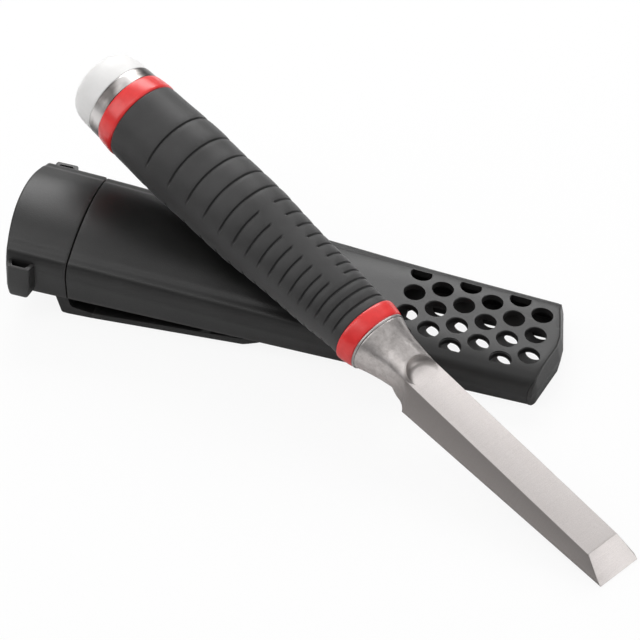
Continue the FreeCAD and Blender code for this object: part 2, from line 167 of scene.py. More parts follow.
def join(*shapes):
    verts, faces, base = [], [], 0
    for shape_verts, shape_faces in shapes:
        verts.append(shape_verts)
        faces += [tuple(base + i for i in face) for face in shape_faces]
        base += len(shape_verts)
    return np.concatenate(verts), faces


def around(n):
    return np.arange(n) * 2 * math.pi / n


def oval(x, half_y, half_z, power, angles, centre_z=None, drop=0.0):
    """Superellipse ring at x, sunk radially by drop; centred on the handle axis by default."""
    c, s = np.cos(angles), np.sin(angles)
    y = half_y * np.sign(c) * np.abs(c) ** (2 / power)
    z = half_z * np.sign(s) * np.abs(s) ** (2 / power)
    keep = 1 - drop / np.hypot(y, z)
    if centre_z is None:
        centre_z = 5.87 + 0.03 * (x - 117.0)
    return np.stack([np.full_like(y, x), y * keep, z * keep + centre_z], -1)


def clean(mesh, merge, dissolve=False):
    bm = bmesh.new()
    bm.from_mesh(mesh)
    bmesh.ops.remove_doubles(bm, verts=bm.verts, dist=merge)
    if dissolve:
        bmesh.ops.dissolve_degenerate(bm, dist=merge, edges=bm.edges)
    bmesh.ops.recalc_face_normals(bm, faces=bm.faces)
    bm.to_mesh(mesh)
    bm.free()


def add_object(name, data):
    ob = bpy.data.objects.new(name, data)
    bpy.context.scene.collection.objects.link(ob)
    return ob


def add_mesh(name, shape, where):
    """Object from local millimetre vertices and faces."""
    verts, faces = shape
    turn, origin = POSES[where]
    mesh = bpy.data.meshes.new(name)
    mesh.from_pydata([tuple(v) for v in (np.asarray(verts) @ turn.T + origin) * 0.001], [], faces)
    clean(mesh, merge=1e-7)
    return add_object(name, mesh)


def finish_piece(ob, where, finish, angle, node, body=None):
    """Keeps local positions as attribute 'loc' for the finish, and stands in for a CAD node."""
    mesh = ob.data
    turn, origin = POSES[where]
    co = np.empty(len(mesh.vertices) * 3)
    mesh.vertices.foreach_get("co", co)
    local = (co.reshape(-1, 3) * 1000.0 - origin) @ turn
    stored = mesh.attributes.new("loc", "FLOAT_VECTOR", "POINT")
    stored.data.foreach_set("vector", local.astype(np.float32).ravel())
    mesh.shade_smooth()
    mesh.set_sharp_from_angle(angle=math.radians(angle))
    mesh.materials.clear()
    mesh.materials.append(finish)
    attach(ob, body or where)
    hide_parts(node)


def add_piece(name, shape, where, finish, angle, node, body=None):
    finish_piece(add_mesh(name, shape, where), where, finish, angle, node, body)


def holster_piece(name, shape, angle, node, body=None):
    add_piece(name, shape, "holster", HOLSTER_PLASTIC, angle, node, body)


def boolean(ob, cutter, operation):
    """Applies an exact boolean and removes the cutter."""
    modifier = ob.modifiers.new("b", "BOOLEAN")
    modifier.operation, modifier.solver, modifier.object = operation, "EXACT", cutter
    depsgraph = bpy.context.evaluated_depsgraph_get()
    mesh = bpy.data.meshes.new_from_object(ob.evaluated_get(depsgraph))
    ob.modifiers.clear()
    old = ob.data
    ob.data = mesh
    bpy.data.meshes.remove(old)
    bpy.data.objects.remove(cutter, do_unlink=True)
    clean(mesh, merge=2e-7, dissolve=True)


# ---------------------------------------------------------------- blade sizes
EDGE_HALF = 9.0             # half width at the cutting edge
EDGE_HEIGHT = 0.06          # thickness left at the cutting edge
BLADE_LENGTH = 93.3         # cutting edge to shoulder
SHOULDER_HALF = 10.8        # half width at the shoulder
LAND = 1.3                  # height of the upright sides below the side bevels
TOP_HALF = 6.86             # half width of the top face
TIP_HEIGHT = 6.11           # top face height, projected to the cutting edge
SHOULDER_HEIGHT = 9.94      # top face height at the shoulder
TOP_SLOPE = (SHOULDER_HEIGHT - TIP_HEIGHT) / BLADE_LENGTH
BEVEL_SLOPE = math.tan(math.radians(34.7))
BEVEL_END = (TIP_HEIGHT - EDGE_HEIGHT) / (BEVEL_SLOPE - TOP_SLOPE)
SCOOP_X = 94.0              # centre of the round end of the top face


# ---------------------------------------------------------------- finishes
class Nodes:
    """Shader tree helpers. A value may be a number, a colour or an output socket."""

    def __init__(self, tree):
        self.tree = tree

    def feed(self, socket, value):
        if value is None:
            return
        if isinstance(value, (int, float)):
            socket.default_value = value
        elif isinstance(value, tuple):
            socket.default_value = (*value, 1)
        else:
            self.tree.links.new(value, socket)

    def fill(self, node, **values):
        for key, value in values.items():
            self.feed(node.inputs[key.replace("_", " ")], value)

    def node(self, kind, **values):
        node = self.tree.nodes.new(kind)
        self.fill(node, **values)
        return node

    def ramp(self, factor, *stops):
        """Colour ramp; stops are (position, grey or colour)."""
        node = self.node("ShaderNodeValToRGB")
        elements = node.color_ramp.elements
        while len(elements) < len(stops):
            elements.new(0.5)
        for element, (position, c) in zip(elements, stops):
            element.position = position
            element.color = (c, c, c, 1) if isinstance(c, (int, float)) else (*c, 1)
        self.feed(node.inputs[0], factor)
        return node.outputs[0]

    def math(self, operation, a, b=None):
        node = self.node("ShaderNodeMath")
        node.operation = operation
        self.feed(node.inputs[0], a)
        self.feed(node.inputs[1], b)
        return node.outputs[0]

    def mix_shader(self, factor, first, second):
        node = self.node("ShaderNodeMixShader")
        for socket, value in zip(node.inputs, (factor, first, second)):
            self.feed(socket, value)
        return node.outputs[0]


class Finish(Nodes):
    """Principled material textured in millimetres: by attribute 'loc' or object position."""

    def __init__(self, name, stored=True):
        self.material = bpy.data.materials.new(name)
        self.material.use_nodes = True
        super().__init__(self.material.node_tree)
        self.tree.nodes.clear()
        out = self.node("ShaderNodeOutputMaterial")
        self.shader = self.node("ShaderNodeBsdfPrincipled")
        self.feed(out.inputs[0], self.shader.outputs[0])
        if stored:
            attribute = self.node("ShaderNodeAttribute")
            attribute.attribute_name = "loc"
            self.place = attribute.outputs["Vector"]
        else:
            coords = self.node("ShaderNodeTexCoord")
            to_mm = self.node("ShaderNodeVectorMath")
            to_mm.operation = "SCALE"
            self.fill(to_mm, Scale=1000.0)
            self.feed(to_mm.inputs[0], coords.outputs["Object"])
            self.place = to_mm.outputs[0]

    def set(self, **values):
        self.fill(self.shader, **values)

    def stretched(self, x, y, z):
        """Position with its own frequency along each axis."""
        node = self.node("ShaderNodeVectorMath")
        node.operation = "MULTIPLY"
        self.feed(node.inputs[0], self.place)
        node.inputs[1].default_value = (x, y, z)
        return node.outputs[0]

    def noise(self, vector=None, scale=1.0, detail=3.0, rough=0.5, distortion=0.0):
        node = self.node("ShaderNodeTexNoise", Scale=scale, Detail=detail, Roughness=rough,
                         Distortion=distortion, Vector=vector or self.place)
        return node.outputs["Fac"]

    def spread(self, noise, low, high):
        """Maps the usual range of a noise onto low..high."""
        return self.ramp(noise, (0.3, low), (0.7, high))

    def limits(self, value, start, end):
        """0 at start, 1 at end."""
        return self.node("ShaderNodeMapRange", From_Min=start, From_Max=end,
                         Value=value).outputs[0]

    def mix(self, factor, first, second):
        node = self.node("ShaderNodeMix")
        node.data_type = "RGBA"
        for i, value in ((0, factor), (6, first), (7, second)):
            self.feed(node.inputs[i], value)
        return node.outputs[2]

    def bump(self, height, strength, distance, under=None):
        return self.node("ShaderNodeBump", Strength=strength, Distance=distance,
                         Height=height, Normal=under).outputs[0]

    def worn(self, start, end):
        """Mask of the convex edges."""
        geometry = self.node("ShaderNodeNewGeometry")
        return self.ramp(geometry.outputs["Pointiness"], (start, 0.0), (end, 1.0))


def shade(level, *tint):
    return tuple(level * t for t in tint)


STEEL_TINT = (1.0, 0.975, 0.965)


def plastic(name, stored=True, dark=0.0105, light=0.0165, rough=0.40):
    m = Finish(name, stored)
    broad = m.noise(scale=0.07)
    fine = m.noise(scale=2.6, rough=0.6)
    pits = m.node("ShaderNodeTexVoronoi", Scale=1.9, Vector=m.place)
    colour = m.spread(broad, shade(dark, 1, 0.98, 0.96), shade(light, 1, 0.985, 0.97))
    colour = m.mix(m.worn(start=0.515, end=0.60), colour, shade(light, 2.6, 2.5, 2.45))
    m.set(Base_Color=colour, Roughness=m.spread(fine, low=rough - 0.05, high=rough + 0.09),
          Specular_IOR_Level=0.5)
    pitted = m.bump(pits.outputs["Distance"], strength=0.10, distance=0.0002)
    m.set(Normal=m.bump(fine, strength=0.14, distance=0.00015, under=pitted))
    return m.material


def rubber():
    m = Finish("grip_rubber_finish")
    broad = m.noise(scale=0.12, detail=4)
    fine = m.noise(scale=5.0, detail=4, rough=0.65)
    colour = m.spread(broad, low=(0.0250, 0.0244, 0.0244), high=(0.0350, 0.0344, 0.0344))
    colour = m.mix(m.worn(start=0.50, end=0.56), colour, (0.036, 0.0355, 0.0355))
    m.set(Base_Color=colour, Roughness=m.spread(fine, low=0.46, high=0.60),
          Specular_IOR_Level=0.45, Sheen_Weight=0.12, Sheen_Roughness=0.5)
    m.set(Normal=m.bump(fine, strength=0.22, distance=0.00012))
    return m.material


def red():
    m = Finish("red_ring_finish")
    broad = m.noise(scale=0.35)
    fine = m.noise(scale=3.5)
    m.set(Base_Color=m.spread(broad, low=(0.77, 0.022, 0.022), high=(0.86, 0.032, 0.031)),
          Roughness=m.spread(fine, low=0.30, high=0.40), Coat_Weight=0.25, Coat_Roughness=0.25)
    m.set(Normal=m.bump(fine, strength=0.06, distance=0.0001))
    return m.material


def steel(name, dark, light, rough, stretch, bump, stored=False):
    """Lined steel with faint darker, rougher blotches."""
    m = Finish(name, stored)
    lines = m.noise(m.stretched(*stretch), detail=4, rough=0.6)
    blotches = m.noise(scale=0.22, detail=5, rough=0.6)
    colour = m.spread(lines, shade(dark, *STEEL_TINT), shade(light, *STEEL_TINT))
    colour = m.mix(m.ramp(blotches, (0.35, 0.0), (0.75, 0.16)), colour,
                   shade(dark * 0.85, *STEEL_TINT))
    roughness = m.math("ADD", m.spread(lines, low=rough - 0.05, high=rough + 0.06),
                       m.ramp(blotches, (0.3, 0.0), (0.75, 0.07)))
    m.set(Base_Color=colour, Metallic=1.0, Roughness=roughness)
    m.set(Normal=m.bump(lines, strength=bump, distance=0.0001))
    return m.material


def cap_steel():
    """Polished round the band, with painted reflections in its colour; finely satin on the struck
    end, whose pale colour is painted glare; with turning marks.
    """
    m = Finish("cap_steel_turned")
    x, y, z = m.node("ShaderNodeSeparateXYZ", Vector=m.place).outputs
    end = m.limits(x, start=250.15, end=250.4)
    lines = m.noise(m.stretched(9.0, 0.05, 0.05), detail=4, rough=0.6)

    # painted reflections: five soft light and dark bands round the band, their edges wavering
    angle = m.math("ARCTAN2", m.math("SUBTRACT", z, 9.8), y)
    waver = m.noise(m.stretched(0.3, 0.12, 0.12), detail=2)
    waver = m.math("MULTIPLY", m.math("SUBTRACT", waver, 0.5), 2.2)
    turned = m.math("MULTIPLY", m.math("ADD", angle, CAP_PHASE), 5.0)
    wave = m.math("COSINE", m.math("ADD", turned, waver))
    # painted reflections: a fixed light-and-dark pattern in the band's base colour
    painted_reflections = m.ramp(m.math("ADD", m.math("MULTIPLY", wave, 0.5), 0.5),
                    (0.05, (0.10, 0.092, 0.088)), (0.5, (0.34, 0.32, 0.31)),
                    (0.95, (0.70, 0.675, 0.665)))

    marks = m.noise(m.stretched(1.6, 0.10, 0.10), detail=4, rough=0.6)
    blotches = m.noise(scale=0.16, detail=4, rough=0.6)
    # painted glare: the struck end's pale, mostly non-metallic colour stands in for studio light
    # burnt out on the steel
    pale = m.spread(blotches, low=(0.83, 0.822, 0.812), high=(0.89, 0.884, 0.875))
    m.set(Base_Color=m.mix(end, painted_reflections, pale), Metallic=m.ramp(end, (0.0, 1.0), (1.0, 0.22)))
    m.set(Roughness=m.mix(end, m.spread(lines, low=0.30, high=0.42),
                          m.spread(marks, low=0.62, high=0.74)))
    lined = m.bump(lines, strength=0.10, distance=0.0001)
    grain = m.noise(scale=1.4, detail=5, rough=0.65)
    m.set(Normal=m.bump(grain, strength=0.07, distance=0.0002, under=lined))
    return m.material


def blade_steel():
    """Fine-blasted satin on the blade, with faint grinding lines; more mottled on the neck;
    painted shade on the side bevels and in the hollow at the end of the top face.
    """
    m = Finish("blade_steel_ground")
    x, y, z = m.node("ShaderNodeSeparateXYZ", Vector=m.place).outputs
    neck = m.limits(x, start=94.0, end=105.0)
    lines = m.noise(m.stretched(6.0, 0.16, 0.16), detail=4, rough=0.6)
    swirl = m.noise(m.stretched(0.05, 0.30, 0.30))
    speck = m.noise(scale=0.55, detail=6, rough=0.62, distortion=0.3)
    grit = m.noise(scale=3.2, detail=5, rough=0.75)
    ground = m.spread(grit, low=(0.57, 0.53, 0.515), high=(0.75, 0.71, 0.695))
    ground = m.mix(m.ramp(lines, (0.35, 0.0), (0.75, 0.22)), ground, (0.44, 0.41, 0.40))
    ground = m.mix(m.ramp(swirl, (0.35, 0.0), (0.7, 0.14)), ground, (0.74, 0.71, 0.70))

    # painted shade: the side bevels are coloured darker than the top face and the cutting bevel
    taper = m.math("ADD", m.math("MULTIPLY", x, -1.0 / BEVEL_END), 1.0)
    taper = m.math("MULTIPLY", m.math("MAXIMUM", taper, 0.0), EDGE_HALF - TOP_HALF)
    top_edge = m.math("ADD", taper, TOP_HALF)
    beyond = m.math("SUBTRACT", m.math("ABSOLUTE", y), top_edge)
    ground = m.mix(m.ramp(beyond, (0.02, 0.0), (0.16, 0.78)), ground, (0.25, 0.228, 0.218))

    # painted shade in the hollow round the end of the top face; lengths are in centimetres to fit
    # the ramps
    dx = m.math("SUBTRACT", x, SCOOP_X)
    square = m.math("ADD", m.math("MULTIPLY", dx, dx), m.math("MULTIPLY", y, y))
    radius = m.math("MULTIPLY", m.math("MULTIPLY", m.math("SQRT", square), 0.1), 1.0)
    # scale is the mask of this painted shade in the hollow
    scale = m.ramp(radius, ((TOP_HALF - 2.3) * 0.1, 0.0), ((TOP_HALF - 1.2) * 0.1, 0.62),
                   ((TOP_HALF + 0.5) * 0.1, 0.55), ((TOP_HALF + 1.5) * 0.1, 0.0))
    behind = m.ramp(m.math("MULTIPLY", dx, 0.1), (0.0, 0.0), (0.25, 1.0))
    scale = m.math("MULTIPLY", scale, behind)
    raised = m.ramp(m.math("MULTIPLY", z, 0.1), (0.35, 0.0), (0.45, 1.0))
    scale = m.math("MULTIPLY", scale, raised)

    forged = m.ramp(speck, (0.30, (0.42, 0.39, 0.375)), (0.50, (0.57, 0.535, 0.52)),
                    (0.72, (0.69, 0.655, 0.64)))
    forged = m.mix(m.ramp(grit, (0.35, 0.0), (0.75, 0.25)), forged, (0.36, 0.335, 0.325))
    # the painted shade of the hollow darkens the blade and neck colour
    m.set(Base_Color=m.mix(scale, m.mix(neck, ground, forged), (0.17, 0.150, 0.140)),
          Metallic=1.0)
    m.set(Roughness=m.mix(neck, m.spread(lines, low=0.40, high=0.48),
                          m.spread(speck, low=0.34, high=0.44)))
    gritty = m.bump(grit, strength=0.16, distance=0.00012)
    m.set(Normal=m.bump(m.mix(neck, lines, speck), strength=0.08, distance=0.0003,
                        under=gritty))
    return m.material


CAP_PHASE = 0.98            # turns the painted reflections round the cap, radians

HOLSTER_PLASTIC = plastic("holster_plastic_finish")
MOULDED_PLASTIC = plastic("holster_plastic_moulded", stored=False)
CORE_PLASTIC = plastic("core_plastic_finish", stored=False, dark=0.03, light=0.045, rough=0.5)
GRIP_RUBBER = rubber()
RING_RED = red()
WASHER_STEEL = steel("washer_steel_bright", dark=0.36, light=0.48, rough=0.38,
                     stretch=(10.0, 0.5, 0.5), bump=0.06, stored=True)
SCREW_STEEL = steel("fastener_steel_finish", dark=0.35, light=0.5, rough=0.32,
                    stretch=(6.0, 6.0, 6.0), bump=0.08)
SPRING_STEEL = steel("spring_steel_finish", dark=0.45, light=0.6, rough=0.28,
                     stretch=(0.6, 9.0, 9.0), bump=0.08)
CAP_STEEL = cap_steel()
BLADE_STEEL = blade_steel()

# ---------------------------------------------------------------- chisel: grip
# x, half width, half height
GRIP = [
    (124.3, 12.75, 10.62), (127.5, 12.8, 10.7), (133.0, 13.0, 11.25), (138.0, 13.45, 11.75),
    (146.0, 13.85, 12.25), (158.0, 14.25, 12.9), (167.0, 14.85, 13.6), (174.0, 15.4, 14.3),
    (181.0, 15.85, 14.9), (193.0, 16.0, 15.25), (203.0, 16.05, 15.4), (213.0, 16.35, 15.95),
    (224.0, 16.05, 15.7), (231.0, 15.75, 15.4), (236.0, 15.6, 15.3), (238.2, 15.45, 15.2)]
GRIP_START, GRIP_END = GRIP[0][0], GRIP[-1][0]
GRIP_WALL = 3.17
GRIP_EDGE = 0.45            # rounding of both ends
GROOVES = [220.0, 208.7, 199.3, 190.7, 182.8, 176.1, 169.9, 164.1,
           158.8, 153.7, 148.8, 144.1, 140.1, 136.1, 132.1, 127.9]
GROOVE_STEPS = np.array([0.22, 0.34, 0.42, 0.52, 0.66, 0.85, 1.2, 1.7])


def grip_ring(x, angles, inset=0.0, drop=0.0):
    half_y, half_z = table_at(GRIP, x)
    power = 2.25 - 0.22 * max(0.0, min(1.0, (x - 124) / 80.0))
    return oval(x, half_y - inset, half_z - inset, power, angles, drop=drop)


def grip_drop(x, y, z):
    """Depth of the cross grooves and end rounding; the grooves stop short of both sides."""
    steepness = np.degrees(np.arctan2(np.abs(z), np.abs(y)))
    drop = np.zeros(len(y))
    for groove in GROOVES:
        d = abs(x - groove)
        if d > 6:
            continue
        mask = smoothstep(13.0, 25.0, steepness)
        if 138.0 < groove < 180.0:
            # a plain strip runs along the middle of the upper face
            mask = mask * np.where(z > 0, smoothstep(3.0, 4.6, np.abs(y)), 1.0)
        slit = 0.70 * (1 - smoothstep(0.24, 0.52, d))
        pillow = 0.16 * math.exp(-(d / 1.2) ** 2)
        drop = np.maximum(drop, (slit + pillow) * mask)
    for end in (GRIP_START, GRIP_END):
        drop = np.maximum(drop, round_inset(abs(x - end), GRIP_EDGE))
    return drop


def build_grip():
    angles = around(208)
    xs = set(np.round(np.arange(GRIP_START, 238.21, 0.85), 3))
    for groove in GROOVES:
        steps = np.concatenate([-GROOVE_STEPS, [0], GROOVE_STEPS])
        xs |= set(np.round(groove + steps, 3))
    xs |= {124.32, 124.38, 124.5, 124.7, 238.18, 238.12, 238.0, 237.8}
    rows = []
    for x in sorted(x for x in xs if GRIP_START <= x <= GRIP_END):
        # z measured from the handle axis tells the upper face from the lower
        half_y, half_z = table_at(GRIP, x)
        power = 2.25 - 0.22 * max(0.0, min(1.0, (x - 124) / 80.0))
        _, y, z = oval(x, half_y, half_z, power, angles, centre_z=0.0).T
        rows.append(grip_ring(x, angles, drop=grip_drop(x, y, z)))
    rows += [grip_ring(station[0], angles, inset=GRIP_WALL) for station in reversed(GRIP)]
    add_piece("grip_sleeve", tube(rows, closed=True), "chisel", GRIP_RUBBER,
              60, "grip")


# ---------------------------------------------------------------- chisel: rings and cap
def rounded(profile, radius, count=26):
    """Dense rows over a profile of (x, half width, half height), with both ends rounded."""
    x0, x1 = profile[0][0], profile[-1][0]
    steps = [radius * (1 - math.cos(math.pi / 2 * i / 5)) for i in range(5)]
    xs = [x0 + s for s in steps] + list(np.linspace(x0 + radius, x1 - radius, count))
    xs += [x1 - s for s in reversed(steps)]
    out = []
    for x in xs:
        inset = round_inset(min(x - x0, x1 - x), radius)
        half_y, half_z = table_at(profile, x)
        out.append((x, half_y - inset, half_z - inset))
    return out


def add_ring(name, profile, bore, power, finish, node):
    """Oval ring with a round bore."""
    angles = around(200)
    rows = [oval(x, half_y, half_z, power, angles) for x, half_y, half_z in profile]
    rows += [oval(profile[i][0], bore, bore, 2.0, angles) for i in (-1, 0)]
    add_piece(name, tube(rows, closed=True), "chisel", finish, 40, node)


build_grip()
add_ring("ring_front",
         rounded([(117.8, 11.95, 10.55), (118.5, 12.35, 10.85), (120.5, 12.85, 11.05),
                  (123.3, 13.3, 11.2), (124.3, 13.15, 11.05)], radius=0.35),
         bore=8.32, power=2.25, finish=RING_RED, node="front_ring")
add_ring("ring_rear",
         rounded([(238.2, 15.55, 15.35), (239.2, 15.8, 15.55), (242.5, 15.5, 15.3),
                  (244.9, 15.15, 14.95), (245.4, 15.0, 14.8)], radius=0.35),
         bore=11.02, power=2.0, finish=RING_RED, node="rear_ring")
add_ring("washer_bright",
         rounded([(116.9, 12.05, 10.7), (117.8, 12.05, 10.7)], radius=0.25, count=3),
         bore=4.45, power=2.25, finish=WASHER_STEEL, node="bolster_washer")

# x, radius: the band and the fine step behind the dome
CAP_BAND = [
    (245.4, 14.55), (245.45, 14.74), (245.6, 14.85), (246.4, 14.86), (247.8, 14.84),
    (249.2, 14.80), (249.9, 14.78), (250.12, 14.70), (250.22, 14.50), (250.32, 14.46),
    (250.45, 14.60), (250.7, 14.66)]
# x from the foot of the dome, fraction of the dome radius
DOME = [(0.0, 1.0), (3.0, 0.997), (6.0, 0.98), (8.4, 0.935), (10.2, 0.855), (11.4, 0.74),
        (12.1, 0.59), (12.5, 0.38), (12.65, 0.12)]
DOME_X, DOME_RADIUS = 250.2, 14.66


def build_cap():
    chords = [math.hypot(q[0] - p[0], 14.6 * (q[1] - p[1])) for p, q in zip(DOME, DOME[1:])]
    lengths = np.concatenate([[0], np.cumsum(chords)])
    dome = [(length, *point) for length, point in zip(lengths, DOME)]
    profile = list(CAP_BAND)
    for length in np.linspace(0.9, lengths[-1], 46):
        x, fraction = table_at(dome, length)
        profile.append((DOME_X + x, DOME_RADIUS * fraction))
    profile += [(262.9, 0.9), (262.92, 0.05)]
    angles = around(200)
    rows = [oval(x, r, max(r - 0.12, r * 0.99), 2.0, angles) for x, r in profile]
    add_piece("cap_turned", tube(rows), "chisel", CAP_STEEL, 24, "striking_cap")


build_cap()

# ---------------------------------------------------------------- chisel: blade and neck
SHOULDER_RADIUS = 7.4       # hollow curve from shoulder to waist
WAIST_HALF = 7.7
CURVE_X = BLADE_LENGTH + 0.8 * SHOULDER_RADIUS
# x, centre height, half width, half height
NECK = [(92.5, 5.1, 7.5, 5.0), (98.0, 5.8, 7.8, 6.8), (103.0, 5.6, 8.25, 7.75),
        (108.0, 5.55, 9.05, 8.5), (113.0, 5.7, 10.4, 9.5), (116.9, 5.85, 11.8, 10.45)]
# x, superellipse power of the neck's upper half
NECK_POWER = [(92.5, 2.6), (98.0, 2.9), (104.0, 2.8), (110.0, 2.5), (116.9, 2.25)]
# shallow flats along the neck: angle, depth, spread in degrees
NECK_FLATS = [(18.0, 0.16, 16.0), (58.0, 0.20, 17.0), (122.0, 0.20, 17.0), (162.0, 0.16, 16.0)]
TANG_RADIUS = 4.4
# height above the top face, outset from the top face's edge
SCOOP = [(0.0, -2.1), (0.05, -1.6), (0.16, -1.15), (0.36, -0.70), (0.66, -0.28),
         (1.10, 0.14), (1.7, 0.56), (2.6, 1.0), (5.0, 1.9), (14.0, 4.2)]


def blade_section(x):
    """Six-sided section: flat back, upright lands, side bevels, top face."""
    wide = EDGE_HALF + (SHOULDER_HALF - EDGE_HALF) * min(x, BLADE_LENGTH) / BLADE_LENGTH
    height = TIP_HEIGHT + (SHOULDER_HEIGHT - TIP_HEIGHT) * x / BLADE_LENGTH
    side, side_z = wide, LAND
    if x > BLADE_LENGTH - 0.2:
        narrow = WAIST_HALF
        if x < CURVE_X:
            narrow += SHOULDER_RADIUS - math.sqrt(SHOULDER_RADIUS ** 2 - (x - CURVE_X) ** 2)
        if narrow < wide:
            side = narrow
            side_z = LAND + (wide - narrow) / (wide - TOP_HALF) * (height - LAND)
    top, top_z = TOP_HALF, height
    bevel_z = EDGE_HEIGHT + x * BEVEL_SLOPE
    if bevel_z < height:
        top_z = bevel_z
        if bevel_z <= LAND:
            top, side_z = side, bevel_z * 0.85
        else:
            top = wide + (TOP_HALF - wide) * (bevel_z - LAND) / (height - LAND)
    return [(-side, 0.0), (side, 0.0), (side, side_z), (top, top_z), (-top, top_z),
            (-side, side_z)]


def blade_shape():
    land_x = (LAND - EDGE_HEIGHT) / BEVEL_SLOPE
    xs = [0.0, 0.25, 0.8, land_x * 0.98, land_x * 1.02, 3.2, 5.5, 7.5]
    xs += [BEVEL_END + d for d in (-0.25, -0.02, 0.25, 1.0)]
    xs += list(np.linspace(BEVEL_END + 3, 91.5, 26)) + [92.6, 93.0, 93.12, 93.2, 93.35]
    turn = np.linspace(math.acos((CURVE_X - 93.5) / SHOULDER_RADIUS), math.pi / 2, 20)
    xs += list(CURVE_X - SHOULDER_RADIUS * np.cos(turn)) + [101.0, 103.0, 105.0]
    rows = []
    for x in xs:
        section = fillet(blade_section(x), [0.22, 0.22, 0.16, 0.22, 0.22, 0.16])
        # behind the shoulder the lower corners draw in, so the section sinks into the neck
        t = float(smoothstep(98.0, 105.0, x))
        rows.append([(x, y * (1 - t * (0.24 - 0.14 * min(1.0, max(0.0, z / 4.0)))),
                      z + 0.4 * t * max(0.0, 1 - z / 2.0)) for y, z in section])
    return tube(rows)


def neck_shape():
    """Neck swelling towards the washer, then the round tang."""
    angles = around(176)
    degrees = np.degrees(angles)
    upper = smoothstep(-0.35, 0.35, np.sin(angles))
    rows = []
    for x in list(np.linspace(92.5, 116.5, 54)) + [116.7, 116.9]:
        centre_z, half_y, half_z = table_at(NECK, x)
        if x > 116.6:
            half_y, half_z = half_y - (x - 116.6) * 0.6, half_z - (x - 116.6) * 0.6
        power = 2.12 + (table_at(NECK_POWER, x)[0] - 2.12) * upper
        drop = np.zeros(len(angles))
        for centre, depth, spread in NECK_FLATS:
            drop += depth * np.exp(-((degrees - centre) / spread) ** 2)
        fade = float(smoothstep(95.0, 101.0, x) * (1 - smoothstep(112.0, 116.5, x)))
        rows.append(oval(x, half_y, half_z, power, angles, centre_z, drop * fade))
    for x in (116.92, 160.0, 206.0, 249.5):
        rows.append(oval(x, TANG_RADIUS, TANG_RADIUS, 2.0, angles))
    return tube(rows)


def scoop_shape():
    """Cutter standing on the sloping top face, with a round rear end and flaring sides."""
    slope = math.atan(TOP_SLOPE)
    turn = np.linspace(-math.pi / 2, math.pi / 2, 40)[1:-1]
    rows = []
    for h, outset in SCOOP:
        r = TOP_HALF + outset
        outline = [(60.0, -r), (SCOOP_X, -r)]
        outline += [(SCOOP_X + r * math.cos(a), r * math.sin(a)) for a in turn]
        outline += [(SCOOP_X, r), (60.0, r)]
        rows.append([(x * math.cos(slope) - h * math.sin(slope), y,
                      x * math.sin(slope) + h * math.cos(slope) + TIP_HEIGHT)
                     for x, y in outline])
    return tube(rows)


def build_blade():
    body = add_mesh("blade_forged", blade_shape(), "chisel")
    neck = add_mesh("neck_tmp", neck_shape(), "chisel")
    scoop = add_mesh("scoop_tmp", scoop_shape(), "chisel")
    boolean(neck, scoop, "DIFFERENCE")
    boolean(body, neck, "UNION")
    finish_piece(body, "chisel", BLADE_STEEL, 28, "blade")


build_blade()

# ---------------------------------------------------------------- holster sections
# x, half width at the back, half width at the ridge, ridge height, crown height, arch power
HOLSTER = [
    (-6.0, 22.7, 24.8, 18.7, 24.3, 2.2), (22.0, 22.5, 24.7, 17.9, 22.6, 2.3),
    (60.0, 22.2, 24.2, 16.2, 20.3, 2.5), (90.0, 22.0, 23.7, 14.7, 18.0, 3.0),
    (125.0, 21.8, 23.1, 13.0, 15.2, 4.4), (160.0, 21.6, 22.6, 11.7, 13.6, 5.6),
    (204.0, 21.3, 22.1, 10.1, 11.75, 6.0)]
WALL = 2.2
SIDE_COLUMNS = 7            # on each lower side wall
ARCH_COLUMNS = 56           # on each half of the arch
COLUMNS = 2 * SIDE_COLUMNS + 2 * ARCH_COLUMNS + 1
ARCH = slice(SIDE_COLUMNS, -SIDE_COLUMNS)
TABLE_START, TABLE_END, TABLE_STEPS = -6, 200, 412


def holster_section(x, inset):
    """(y, z) points from the +y bottom over the crown to the -y bottom."""
    base, wide, ridge, crown, power = table_at(HOLSTER, x)
    base, wide, ridge, crown = base - inset, wide - inset, ridge - inset * 0.9, crown - inset
    shoulder = wide - 2.7
    half = [(wide, ridge - 6.4), (wide - 0.55, ridge - 2.7), (shoulder, ridge)]
    half += [(shoulder * f, ridge + (crown - ridge) * (1 - f ** power)) for f in (0.82, 0.6, 0.3)]
    points = half + [(0.0, crown)] + [(-y, z) for y, z in reversed(half)]
    arch = natural_spline(np.array(points, float), np.linspace(0, 1, 2 * ARCH_COLUMNS + 1))

    # a shallow valley just inside each ridge, both fading out towards the tip
    depth = 1 - float(smoothstep(106.0, 150.0, x))
    across = np.abs(arch[:, 0])
    arch[:, 1] -= 0.32 * depth * np.exp(-((across - (wide - 4.2)) / 1.15) ** 2)
    swell = 0.38 * depth * np.exp(-((across - (wide - 1.75)) / 0.85) ** 2)
    swell = swell * (arch[:, 1] > ridge - 4.5)
    arch += np.stack([np.sign(arch[:, 0]) * swell * 0.7, swell * 0.7], -1)

    t = np.linspace(0, 1, SIDE_COLUMNS + 1)[:-1, None]
    side = np.array([[base, 0.0]]) * (1 - t) + np.array([[wide, ridge - 6.4]]) * t
    return np.concatenate([side, arch, side[::-1] * [-1, 1]])


@functools.lru_cache(maxsize=None)
def section_table(inset):
    xs = np.linspace(TABLE_START, TABLE_END, TABLE_STEPS + 1)
    return np.array([holster_section(x, inset) for x in xs])


def wall_points(inset, xs):
    """Section points (y, z) for one x per column."""
    table = section_table(inset)
    place = (xs - TABLE_START) / (TABLE_END - TABLE_START) * TABLE_STEPS
    i = np.clip(place.astype(int), 0, TABLE_STEPS - 1)
    f = (place - i)[:, None]
    j = np.arange(COLUMNS)
    return table[i, j] * (1 - f) + table[i + 1, j] * f


def level(x):
    return np.full(COLUMNS, float(x))


